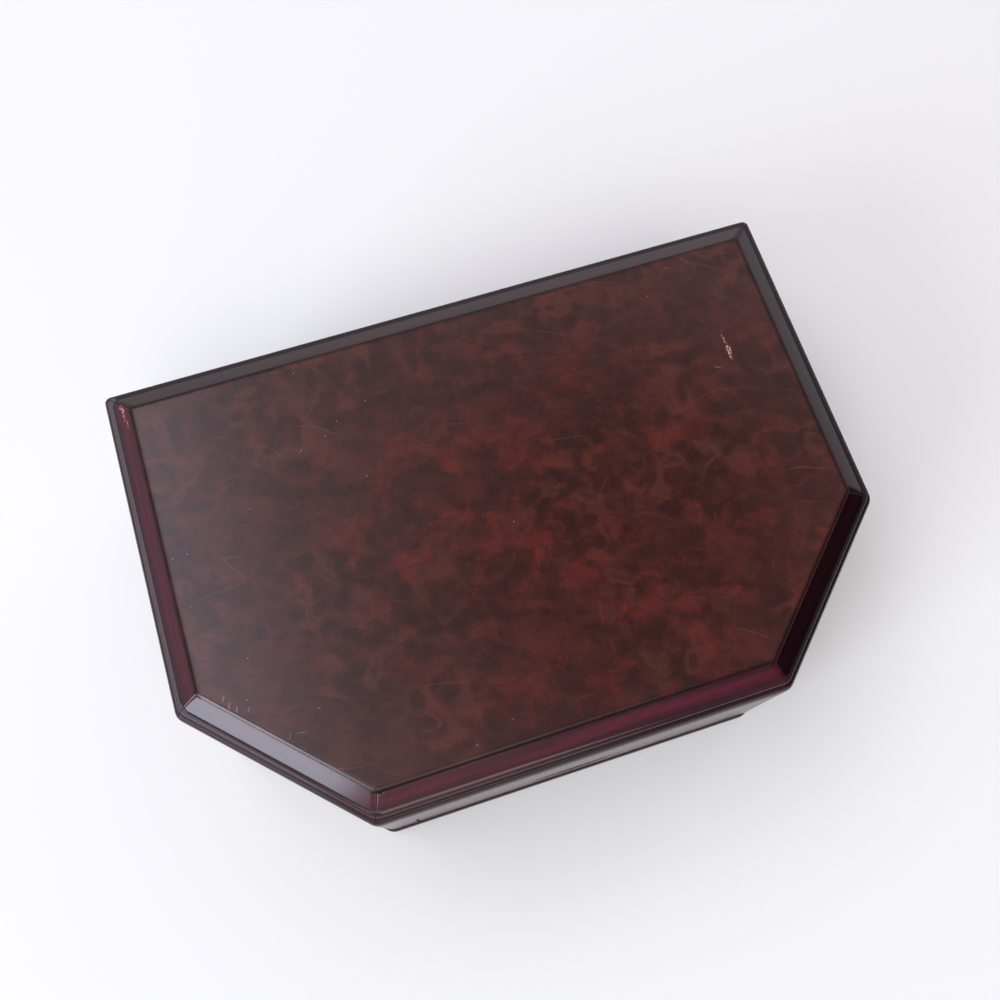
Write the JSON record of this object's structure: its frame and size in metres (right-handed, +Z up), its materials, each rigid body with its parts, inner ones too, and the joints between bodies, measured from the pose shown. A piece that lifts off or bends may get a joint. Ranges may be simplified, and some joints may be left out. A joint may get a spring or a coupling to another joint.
{
  "type": "jewelry box",
  "caption": "Lacquered wooden jewelry box with canted front corners, a moulded burl lid on hinges with a mirror inside, a fitted tray with ring rolls, and a drawer.",
  "frame": {"origin": "on the surface that the box stands on, under the middle of its outline", "axes": "+X along the long back edge, to the right seen from the front; +Y to the back, where the hinges are; +Z up"},
  "size_m": [0.3072, 0.2118, 0.102],
  "materials": {
    "mahogany": "dark red-brown gloss lacquer over stained wood",
    "burl": "red-brown burl under satin lacquer",
    "stained_wood": "stained, unpolished",
    "velvet": "short-pile velvet on card or foam",
    "mirror": "silvered glass",
    "brass": "polished",
    "felt": "black felt sheet"
  },
  "bodies": {
    "case": {"base_felt": "felt", "base_board": "mahogany", "wall_back": "mahogany", "wall_left": "mahogany", "wall_right": "mahogany", "wall_left_cant": "mahogany", "wall_right_cant": "mahogany", "front_rail": "mahogany", "front_stile_left": "mahogany", "front_stile_right": "mahogany", "shelf_board": "stained_wood", "drawer_guide_left": "stained_wood", "drawer_guide_right": "stained_wood", "drawer_stop": "stained_wood", "tray_floor_pad": "velvet", "tray_lining": "velvet", "tray_divider_left": "velvet", "tray_divider_right": "velvet", "tray_cross_left": "velvet", "tray_cross_right": "velvet", "tray_cross_centre": "velvet", "ring_roll_1": "velvet", "ring_roll_2": "velvet", "ring_roll_3": "velvet", "ring_roll_4": "velvet", "ring_roll_5": "velvet", "hinge_case_leaf_left": "brass", "hinge_case_leaf_right": "brass", "hinge_pin_left": "brass", "hinge_pin_right": "brass"},
    "lid": {"lid_rail_front": "mahogany", "lid_rail_right_cant": "mahogany", "lid_rail_right": "mahogany", "lid_rail_back": "mahogany", "lid_rail_left": "mahogany", "lid_rail_left_cant": "mahogany", "lid_panel": "burl", "lid_mirror": "mirror", "mirror_bead_front": "mahogany", "mirror_bead_right_cant": "mahogany", "mirror_bead_right": "mahogany", "mirror_bead_back": "mahogany", "mirror_bead_left": "mahogany", "mirror_bead_left_cant": "mahogany", "hinge_lid_leaf_left": "brass", "hinge_lid_leaf_right": "brass"},
    "drawer": {"drawer_front": "mahogany", "drawer_side_left": "stained_wood", "drawer_side_right": "stained_wood", "drawer_back": "stained_wood", "drawer_bottom": "stained_wood", "drawer_floor_pad": "velvet", "drawer_cross": "velvet", "drawer_divider": "velvet"}
  },
  "joints": [
    {"name": "lid_hinge", "type": "hinge", "parent": "case", "child": "lid", "pos_m": [0, 0.1031, 0.0884], "axis": [-1, 0, 0], "range_deg": [0, 98]},
    {"name": "drawer_slide", "type": "slide", "parent": "case", "child": "drawer", "axis": [0, -1, 0], "range_m": [0, 0.13]}
  ]
}
